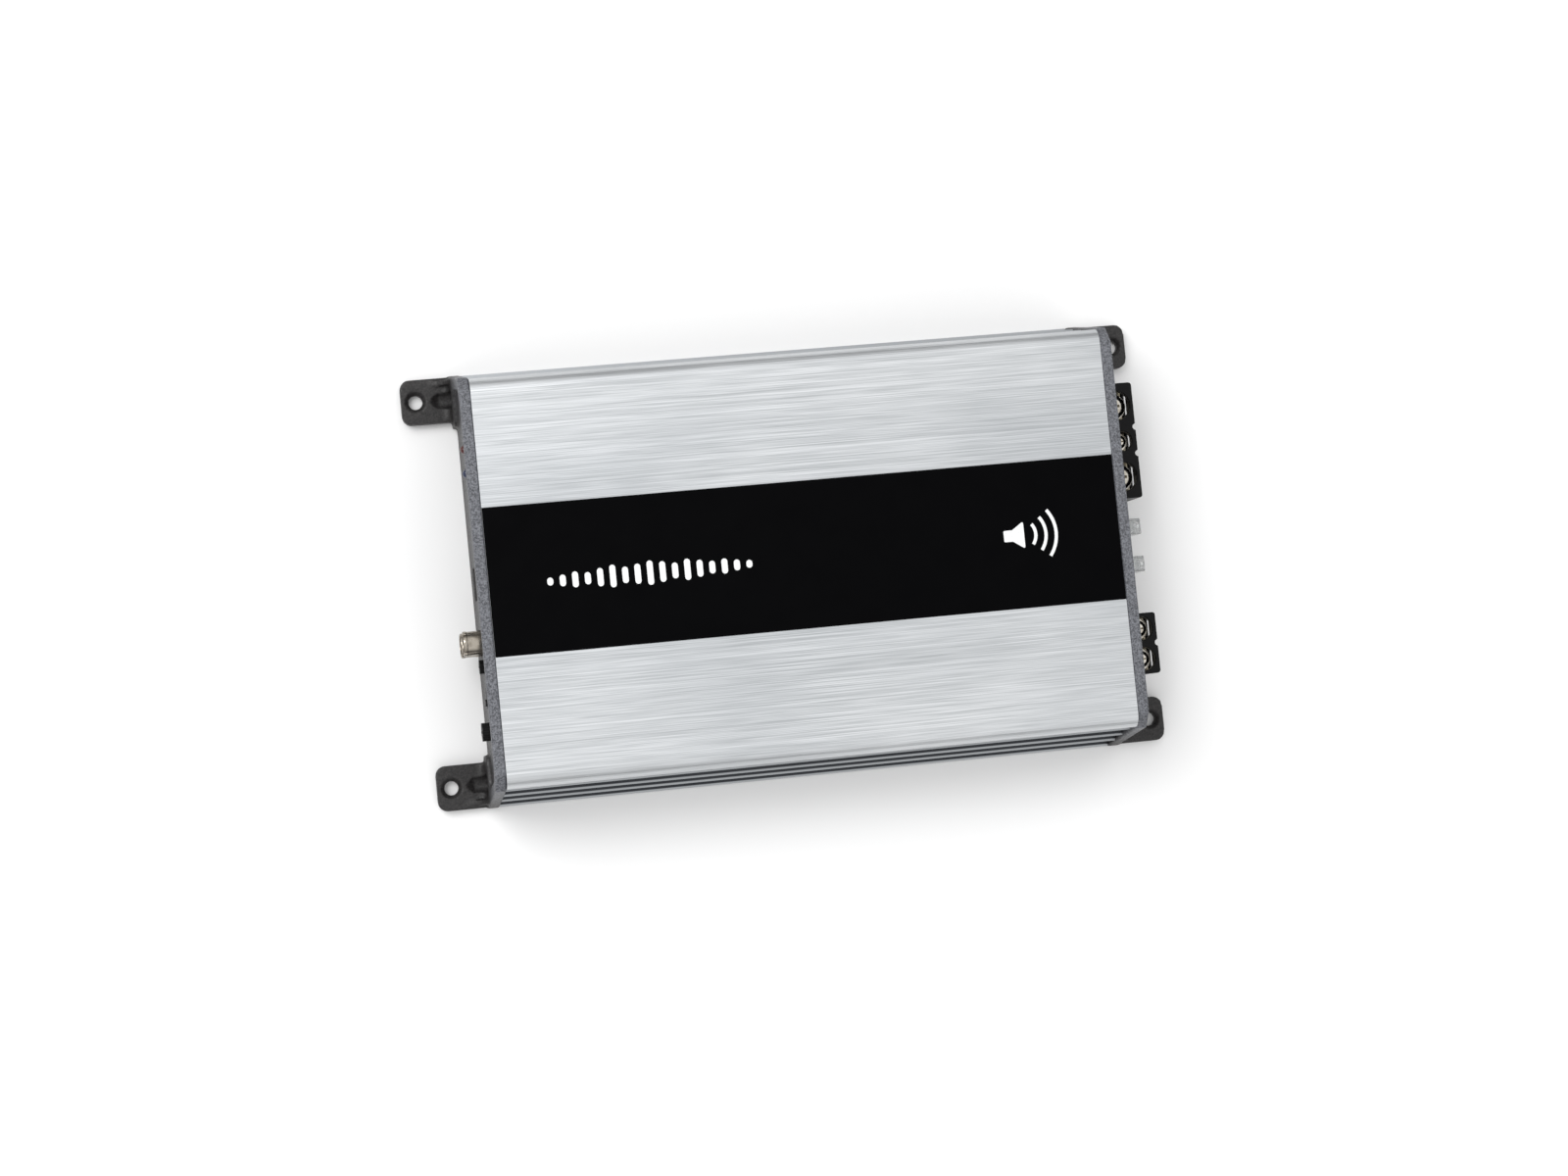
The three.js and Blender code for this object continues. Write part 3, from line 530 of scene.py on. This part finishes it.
FLOOR_HALF, FLOOR_THICK, FLOOR_GAP = 3000, 10, 0.05  # mm
SOFTBOXES = {  # place and size in m, power in W
    "overhead_softbox": ((-0.75, 0.55, 1.3), 0.9, 12.0),
    "front_softbox": ((0.5, -1.3, 0.7), 0.8, 1.2),
}
CAMERA_LENS = 73.79
CAMERA_PLACE = (-0.18303, -0.05879, 1.08481)
CAMERA_TURN = (3.560, -9.187, -5.704)  # degrees


def floor():
    """A plain sheet of pale backdrop paper under the object."""
    half = FLOOR_HALF
    sheet = mesh_of(block((-half, -half, -FLOOR_THICK), (half, half, -FLOOR_GAP)), "floor")
    made = bpy.data.objects.new("floor", sheet)
    bpy.context.scene.collection.objects.link(made)
    paper, tree = blank("pale_backdrop_paper")
    fibres = noise(tree, 2.0)
    sheet.materials.append(finished(paper, {
        "Base Color": "#F4F4F4",
        "Roughness": 0.8,
        "Specular IOR Level": 0.1,
        "Normal": add(tree, "Bump", {"Height": fibres, "Distance": 0.02 * MM, "Strength": 0.3}),
    }))


def surroundings():
    """A white room: bright overhead, and dim down at the horizon so that edges and sides stay grey."""
    world = bpy.data.worlds.new("studio")
    bpy.context.scene.world = world
    world.use_nodes = True
    tree = world.node_tree
    height = add(tree, "SeparateXYZ", {0: add(tree, "TexCoord", output="Generated")}, "Z")
    rise = {"Value": height, "From Min": 0.1, "From Max": 0.7, "To Min": 0.14, "To Max": 1.0}
    plug(tree, tree.nodes["Background"], {"Color": add(tree, "MapRange", rise), "Strength": 1.12})


def softbox(name, place, size, power):
    """A square soft light that faces the object."""
    data = bpy.data.lights.new(name, "AREA")
    data.size = size
    data.energy = power
    lamp = bpy.data.objects.new(name, data)
    lamp.location = place
    lamp.rotation_euler = (-Vector(place)).to_track_quat("-Z", "Y").to_euler()
    bpy.context.scene.collection.objects.link(lamp)


def camera():
    """A camera nearly overhead, a little to the left."""
    data = bpy.data.cameras.new("camera")
    data.sensor_width = 36.0
    data.lens = CAMERA_LENS
    data.clip_start = 0.01
    made = bpy.data.objects.new("camera", data)
    made.location = CAMERA_PLACE
    made.rotation_euler = [math.radians(a) for a in CAMERA_TURN]
    bpy.context.scene.collection.objects.link(made)
    bpy.context.scene.camera = made
    bpy.context.scene.view_settings.view_transform = "Standard"


floor()
surroundings()
for name, (place, size, power) in SOFTBOXES.items():
    softbox(name, place, size, power)
camera()


# ---------------------------------------------------------------- the case

def extrusion():
    """The extrusion, with its sharp edges just broken."""
    mesh = mesh_of(softened("heatsink_housing", 0.3), "case_extrusion")
    weighted(piece("case_extrusion", mesh, "brushed_aluminium", stands_for=["heatsink_housing"]))


def castings():
    """The end caps, cast with their ears."""
    for cap in ("left_end_cap", "right_end_cap"):
        mesh = moulded(cap, cap + "_cast", voxel=0.4, passes=3, keep=0.2)
        weighted(piece(cap.replace("end_cap", "cap_casting"), mesh, "textured_casting", stands_for=[cap]))


def terminal_mouldings():
    """The two terminal blocks, moulded."""
    for node in ("power_terminal_block", "speaker_terminal_block"):
        mesh = moulded(node, node + "_moulded", voxel=0.25, passes=2, keep=0.15)
        name = node.replace("block", "moulding")
        weighted(piece(name, mesh, "black_terminal_plastic", stands_for=[node]))


extrusion()
castings()
terminal_mouldings()


# ---------------------------------------------------------------- the marks on the stripe

# All in mm: the ink's thickness and where it lies, the level meter's bars from left to right, where the
# first one stands, how far apart they are and how wide, and the loudspeaker's horn and its sound waves.
INK = 0.04
INK_BOTTOM = corners("stripe_inlay")[1][2]

METER_HEIGHTS = [2.6, 3.8, 5.2, 4, 6, 7.4, 5.4, 6.6, 8, 6.8, 5.2, 7, 5.6, 4.2, 5, 3.6, 2.6]
METER_START, METER_PITCH, METER_BAR = -85.6, 4.1, 2.0
METER_Y = -1.4

HORN = [(66, -1.9), (69, -1.9), (73, -4.6), (73, 4.6), (69, 1.9), (66, 1.9)]
WAVES_FROM = (71.5, 0)
WAVE_RADII = (6, 9.5, 13)
WAVE_WIDTH = 1.1
WAVE_SPREAD = 38  # degrees to either side


def printed(name, outlines):
    """Closed (x, y) outlines in mm, printed in white on the stripe."""
    parts = [prism(outline, INK_BOTTOM, INK_BOTTOM + INK, 2) for outline in outlines]
    piece(name, mesh_of(together(*parts), name), "white_ink")


def upright_bar(x, height):
    """A bar of the level meter with round ends, standing across the stripe."""
    radius = METER_BAR / 2
    straight = height / 2 - radius
    top = arc((x, METER_Y + straight), radius, 0, 180, 8)
    return top + arc((x, METER_Y - straight), radius, 180, 360, 8)


def sound_wave(radius):
    """One curved stroke of sound leaving the horn."""
    outer = arc(WAVES_FROM, radius, -WAVE_SPREAD, WAVE_SPREAD, 14)
    return outer + arc(WAVES_FROM, radius - WAVE_WIDTH, WAVE_SPREAD, -WAVE_SPREAD, 14)


bars = [upright_bar(METER_START + METER_PITCH * i, height) for i, height in enumerate(METER_HEIGHTS)]
printed("level_meter_mark", bars)
printed("loudspeaker_mark", [rounded(HORN, 0.5, 3)] + [sound_wave(radius) for radius in WAVE_RADII])


# ---------------------------------------------------------------- screws and washers

TERMINAL_SCREWS = {  # head radius, head height, shank radius, washer radius, mm
    "battery": (4.3, 2.6, 2.4, 4.6),
    "ground": (4.3, 2.6, 2.4, 4.6),
    "remote": (2.3, 1.9, 1.4, 2.9),
    "speaker_plus": (2.9, 2.2, 1.9, 3.6),
    "speaker_minus": (2.9, 2.2, 1.9, 3.6),
}
TERMINAL_PITCH = 0.7
WASHER_PLAY = 0.25
CAP_SCREW = {"head": 2.7, "height": 1.8, "shank": 1.3, "length": 12, "pitch": 1.0, "sides": 14}
PLATE_SCREW = {"head": 2.7, "height": 0.6, "shank": 1.2, "length": 5.4, "pitch": 0.8, "sides": 14}
# A pan head's outline, as shares of its radius and height.
PAN = [
    (0, 1), (0.4, 0.98), (0.66, 0.88), (0.84, 0.7), (0.95, 0.46), (1, 0.2), (0.98, 0.04), (0.93, 0), (0, 0),
]
ROWS_A_TURN = 6
THREAD_DEPTH = 0.15  # of the shank's radius
THREAD_END = 0.72  # how far the last turn narrows


def thread(radius, length, pitch, sides):
    """A bmesh of a rolled thread, its crests winding down from zero to a narrowed end."""
    bm = bmesh.new()
    rows = int(length / pitch * ROWS_A_TURN)
    rings = []
    for row in range(rows + 1):
        depth = length * row / rows
        narrowed = min(1.0, THREAD_END + (1 - THREAD_END) * (length - depth) / pitch)
        ring = []
        for i in range(sides):
            hollow = abs((depth / pitch - i / sides) % 1.0 * 2 - 1)
            size = radius * (1 - THREAD_DEPTH * hollow) * narrowed
            turn = FULL_TURN * i / sides
            ring.append(bm.verts.new((size * math.cos(turn), size * math.sin(turn), -depth)))
        rings.append(ring)
    for upper, lower in zip(rings, rings[1:]):
        for i in range(sides):
            k = (i + 1) % sides
            bm.faces.new((upper[i], lower[i], lower[k], upper[k]))
    bm.faces.new(rings[0])
    bm.faces.new(rings[-1][::-1])
    bm.transform(Matrix.Scale(MM, 4))
    return bm


def pan_screw(head, height, shank, length, pitch, sides=20):
    """A mesh of a pan-head screw, its sizes in mm, standing on its seat at zero, with a cross recess."""
    dome = turned([(head * r, height * z) for r, z in PAN], 40)
    # The cross recess: how far it reaches at the top and at its bed, and half the width of its arms.
    wide, narrow, half = head * 0.52, head * 0.26, head * 0.11
    top, bed = height * 1.2, height * 0.3
    slope = [(-wide, top), (wide, top), (narrow, bed), (-narrow, bed)]
    along, across = prism(slope, -half, half, 1), prism(slope, -half, half, 1)
    across.transform(Matrix.Rotation(math.pi / 2, 4, "Z"))
    recessed = carved(mesh_of(dome, "head"), along, across)
    return mesh_of(together(recessed, thread(shank, length, pitch, sides)), "screw", 50)


def fitted(mesh, node, finish, place, axis="Z", body="root"):
    """Sets a copy of a mesh at a place in mm, turned to an axis, in the stead of a frame node."""
    copy = mesh.copy()
    copy.transform(Matrix.Translation([v * MM for v in place]) @ AXES[axis])
    weighted(piece(node + "_turned", copy, finish, body, [node]))


def terminal_screws():
    """In each of the five terminals, its screw and the washer that clamps the wire."""
    for cell, (head, height, shank, washer) in TERMINAL_SCREWS.items():
        x, y, _ = middle(cell + "_screw")
        low, high = corners(cell + "_screw")
        seat = high[2] - height
        screw = pan_screw(head, height, shank, seat - low[2], TERMINAL_PITCH)
        fitted(screw, cell + "_screw", "nickel_plated_steel", (x, y, seat), body=cell + "_screw")
        node = cell + "_washer"
        low, high = corners(node)
        bore = shank + WASHER_PLAY
        ring = [(bore, low[2]), (washer, low[2]), (washer, high[2]), (bore, high[2])]
        disc = mesh_of(turned(ring, place=(x, y, 0)), cell + "_disc")
        weighted(piece(cell + "_clamp_disc", disc, "nickel_plated_steel", cell + "_clamp", [node]))


def case_screws():
    """The four screws of each end cap, and two of the bottom plate's at each end."""
    cap_screw, plate_screw = pan_screw(**CAP_SCREW), pan_screw(**PLATE_SCREW)
    for side, outwards, axis in (("left", -1, "-X"), ("right", 1, "X")):
        for end in ("front", "back"):
            for row in ("lower", "upper"):
                node = f"cap_screw_{side}_{row}_{end}"
                _, y, z = middle(node)
                seat = max(abs(corner[0]) for corner in corners(node)) - CAP_SCREW["height"]
                fitted(cap_screw, node, "black_zinc_steel", (outwards * seat, y, z), axis)
            node = f"plate_screw_{side}_{end}"
            x, y, _ = middle(node)
            seat = corners(node)[0][2] + PLATE_SCREW["height"]
            fitted(plate_screw, node, "black_zinc_steel", (x, y, seat), "-Z")


terminal_screws()
case_screws()


# ---------------------------------------------------------------- terminals, fuses and sockets

# The phono sockets: x of their mouths and of their ends behind the panel.
MOUTH, BACK = -114.6, -105.3
DEEP = BACK - MOUTH
# Their parts, as outlines of radius and depth behind the mouth, mm.
SHELL = [
    (3.6, 0.25), (3.7, 0.05), (3.9, 0), (4.1, 0.15), (4.15, 0.4), (4.15, 1.1), (4.02, 1.3), (4.02, 4.6),
    (4.15, 4.9), (4.15, DEEP), (3.6, DEEP),
]
INSERT = [(1.6, 1.75), (1.75, 1.6), (2.9, 1.6), (3.25, 1.7), (3.4, 2.0), (3.4, DEEP), (1.6, DEEP)]
CENTRE_CONTACT = [(1.1, 2.3), (1.3, 2.1), (1.5, 2.3), (1.5, DEEP), (1.1, DEEP)]

# The modular socket: z of its roof and x of its back, and its wires, which start at the roof near the mouth.
SOCKET_ROOF, SOCKET_BACK = 18.3, -94.2
WIRE_COUNT, WIRE_PITCH, WIRE_HALF = 6, 1.02, 0.2
WIRE_TIP = -103

LENS, FLANGE = 1.5, 1.9  # radii of a lamp's dome and of its flange, mm


def contacts_and_fuses():
    """The terminals' contact plates, and the two clear fuses with the strip that shows inside each."""
    for cell in TERMINAL_SCREWS:
        softened_piece(cell + "_contact", "tinned_brass", 0.2)
    for number in ("1", "2"):
        softened_piece("fuse_body_" + number, "clear_fuse_plastic", 0.35, "fuse_" + number, 3)
        softened_piece("fuse_element_" + number, "fuse_zinc", 0.08, "fuse_" + number)


def socket_part(outline, sides, row):
    """A bmesh of a part of a phono socket: an outline of radius and depth, turned about its axis."""
    _, y, z = middle("rca_sleeve_" + row)
    return turned([(radius, -depth) for radius, depth in outline], sides, (MOUTH, y, z), "-X")


def phono_sockets():
    """Two phono sockets: each a plated shell with a rolled lip, a coloured insert and a centre contact."""
    for row, colour in (("lower", "red_plastic"), ("upper", "white_plastic")):
        shell = mesh_of(socket_part(SHELL, 64, row), "rca_shell", 30)
        weighted(piece("rca_shell_" + row, shell, "nickel_plated_brass", stands_for=["rca_sleeve_" + row]))
        insert = mesh_of(socket_part(INSERT, 48, row), "rca_insert", 30)
        weighted(piece("rca_insert_" + row, insert, colour, stands_for=["rca_insulator_" + row]))
        contact = mesh_of(socket_part(CENTRE_CONTACT, 32, row), "rca_centre_contact")
        piece("rca_centre_contact_" + row, contact, "tinned_brass")
    softened_piece("rca_body", "black_control_plastic", 0.4)


def remote_socket():
    """The modular socket, and the six sprung wires that slope down inside it."""
    softened_piece("remote_socket", "black_control_plastic", 0.3)
    bend = [
        (WIRE_TIP, SOCKET_ROOF), (WIRE_TIP - 0.3, SOCKET_ROOF - 0.3),
        (SOCKET_BACK, SOCKET_ROOF - 4.3), (SOCKET_BACK, SOCKET_ROOF - 3.8),
    ]
    wires = []
    for i in range(WIRE_COUNT):
        y = middle("remote_socket")[1] + (i - (WIRE_COUNT - 1) / 2) * WIRE_PITCH
        wires.append(prism(bend, y - WIRE_HALF, y + WIRE_HALF, 1))
    piece("remote_socket_wires", mesh_of(together(*wires), "remote_socket_wires"), "tinned_brass")


def lamps():
    """The two indicator lamps: a domed lens with a flange behind the panel."""
    for lamp, finish in (("power_led", "blue_led_epoxy"), ("protect_led", "red_led_epoxy")):
        low, high = corners(lamp)
        _, y, z = middle(lamp)
        deep = high[0] - low[0]
        flange = [(LENS, 0.8 - deep), (FLANGE, 0.7 - deep), (FLANGE, -deep), (0, -deep)]
        outline = [(0, 0)] + arc((0, -LENS), LENS, 78, 0, 6) + flange
        mesh = mesh_of(turned(outline, 40, (low[0], y, z), "-X"), lamp + "_lens", 50)
        piece(lamp + "_lens", mesh, finish, stands_for=[lamp])


# ---------------------------------------------------------------- knobs and switch

KNOB_RADII = {"level": 2.3, "lowpass": 3.05}
KNOB_BACK, SHAFT_BACK = -105.4, -101.3  # x of the rear of a knob, and of its shaft
SHAFT_RADIUS, SHAFT_LENGTH = 1.4, 4.3
FLUTES, FLUTE_DEPTH, POINTS_A_FLUTE = 18, 0.14, 6
SLOT_HALF, SLOT_REACH, SLOT_DEPTH = 0.4, 0.72, 1
RIDGES, RIDGE_HALF, RIDGE_DEPTH = (0.65, 1.1, 1.55), 0.12, 0.3
CLEAR = 1  # how far a cutter stands out of what it cuts


def fluted(radius, y, z):
    """A round (y, z) outline about a point, with flutes in it for the fingers."""
    points = []
    for i in range(FLUTES * POINTS_A_FLUTE):
        turn = FULL_TURN * i / (FLUTES * POINTS_A_FLUTE)
        size = radius - FLUTE_DEPTH * max(0.0, math.cos(turn * FLUTES)) ** 2
        points.append((y + size * math.cos(turn), z + size * math.sin(turn)))
    return points


def knobs():
    """The level and low-pass knobs, fluted and slotted for a screwdriver, and the controls behind them."""
    for control, radius in KNOB_RADII.items():
        node = control + "_knob"
        front = corners(node)[0][0]
        _, y, z = middle(node)
        cap = prism(fluted(radius, y, z), front, KNOB_BACK, 0)
        reach = radius * SLOT_REACH
        slot_low = (front - CLEAR, y - SLOT_HALF, z - reach)
        slot_high = (front + SLOT_DEPTH, y + SLOT_HALF, z + reach)
        slotted = carved(mesh_of(cap, node), block(slot_low, slot_high))
        rod = [(0, 0), (SHAFT_RADIUS, 0), (SHAFT_RADIUS, SHAFT_LENGTH), (0, SHAFT_LENGTH)]
        shaft = turned(rod, 24, (SHAFT_BACK, y, z), "-X")
        mesh = mesh_of(together(slotted, shaft), node + "_moulding")
        weighted(piece(control + "_knob_moulding", mesh, "black_control_plastic", node, [node]))
        softened_piece(control + "_pot_body", "control_housing", 0.3)


def phase_switch():
    """The slide switch: its nub, with three grooves for a fingernail, and its housing."""
    low, high = corners("phase_switch_slider")
    nub = block(low, high)
    grooves = []
    for y in (low[1] + along for along in RIDGES):
        front = (low[0] - CLEAR, y - RIDGE_HALF, low[2] - CLEAR)
        grooves.append(block(front, (low[0] + RIDGE_DEPTH, y + RIDGE_HALF, high[2] + CLEAR)))
    mesh = mesh_of(carved(mesh_of(nub, "nub"), *grooves), "phase_switch_nub")
    piece("phase_switch_nub", mesh, "black_control_plastic", "phase_slider", ["phase_switch_slider"])
    softened_piece("phase_switch_body", "control_housing", 0.25)


contacts_and_fuses()
phono_sockets()
knobs()
phase_switch()
remote_socket()
lamps()


# ---------------------------------------------------------------- the board and its parts

PLATES = {  # finish, and how far the edges are rounded, mm
    "bottom_plate": ("black_steel_sheet", 0.25),
    "main_board": ("circuit_board", 0.15),
    "fuse_holder": ("black_terminal_plastic", 0.4),
    "transistor_clamp_bar": ("mill_aluminium", 0.3),
    "stripe_inlay": ("black_enamel", 0.08),
}
WINDINGS = {"supply_transformer": 44, "output_inductor": 34}  # turns of wire
RING_BORE = 0.42  # of the ring's outer radius
WIRE_SWELL = 0.07  # how much a turn of wire stands out, of the ring's own thickness
POINTS_A_TURN, POINTS_AROUND = 6, 28

# The transistors stand in a row on the board, between two y and two z, each on three legs; mm.
BOARD_TOP = corners("main_board")[1][2]
TRANSISTOR_COUNT, TRANSISTOR_START, TRANSISTOR_PITCH = 8, -61, 17.4
TRANSISTOR_HALF, TRANSISTOR_Y, TRANSISTOR_Z = 5, (-57.4, -53.2), (13, 27)
LEGS, LEG_HALF, LEG_Y, LEG_TOP = (-2.5, 0, 2.5), 0.4, (-55.6, -55.1), 13.5


def squared(value):
    """A sine or cosine, flattened so that a circle of them becomes a rounded square."""
    return math.copysign(abs(value) ** 0.5, value)


def wound_ring(node, turns):
    """A mesh of a ring core under one layer of wire: each turn stands up as a ridge round it."""
    low, high = corners(node)
    x, y, z = middle(node)
    outer = (high[0] - low[0]) / 2
    inner = RING_BORE * outer
    width, height = (outer - inner) / 2, (high[2] - low[2]) / 2
    bm = bmesh.new()
    rings = []
    for i in range(turns * POINTS_A_TURN):
        turn = FULL_TURN * i / (turns * POINTS_A_TURN)
        swell = 1 - WIRE_SWELL * abs(math.cos(turn * turns / 2))
        ring = []
        for k in range(POINTS_AROUND):
            t = FULL_TURN * k / POINTS_AROUND
            radius = (outer + inner) / 2 + squared(math.cos(t)) * width * swell
            up = squared(math.sin(t)) * height * swell
            point = (x + radius * math.cos(turn), y + radius * math.sin(turn), z + up)
            ring.append(bm.verts.new([v * MM for v in point]))
        rings.append(ring)
    for first, second in zip(rings, rings[1:] + rings[:1]):
        for k in range(POINTS_AROUND):
            m = (k + 1) % POINTS_AROUND
            bm.faces.new((first[k], second[k], second[m], first[m]))
    return mesh_of(bm, node + "_wound", 70)


def capacitors():
    """The supply's capacitors: sleeved cans with a rolled groove near the foot and a rim at the top."""
    for node in ("supply_capacitor_1", "supply_capacitor_2"):
        low, high = corners(node)
        x, y, _ = middle(node)
        tall = high[2] - low[2]
        can = [
            (0, 0), (7.2, 0), (7.8, 0.4), (8, 1), (8, 2.6), (7.3, 3.3), (7.3, 3.7), (8, 4.4),
            (8, tall - 0.7), (7.7, tall - 0.15), (7.1, tall), (6.8, tall - 0.35), (0, tall - 0.35),
        ]
        mesh = mesh_of(turned(can, place=(x, y, low[2])), node + "_can", 50)
        weighted(piece(node + "_can", mesh, "capacitor_sleeve", stands_for=[node]))


def transistors():
    """The output transistors, held to the case by the clamp bar, and their legs down to the board."""
    bodies, legs = [], []
    (front, back), (bottom, top) = TRANSISTOR_Y, TRANSISTOR_Z
    for i in range(TRANSISTOR_COUNT):
        x = TRANSISTOR_START + i * TRANSISTOR_PITCH
        bodies.append(block((x - TRANSISTOR_HALF, front, bottom), (x + TRANSISTOR_HALF, back, top)))
        for leg in (x + aside for aside in LEGS):
            legs.append(block((leg - LEG_HALF, LEG_Y[0], BOARD_TOP), (leg + LEG_HALF, LEG_Y[1], LEG_TOP)))
    piece("output_transistors", mesh_of(together(*bodies), "output_transistors"), "black_control_plastic")
    piece("transistor_legs", mesh_of(together(*legs), "transistor_legs"), "tinned_brass")


for node, (finish, width) in PLATES.items():
    softened_piece(node, finish, width)
for node, turns in WINDINGS.items():
    piece(node + "_winding", wound_ring(node, turns), "enamelled_copper", stands_for=[node])
capacitors()
transistors()
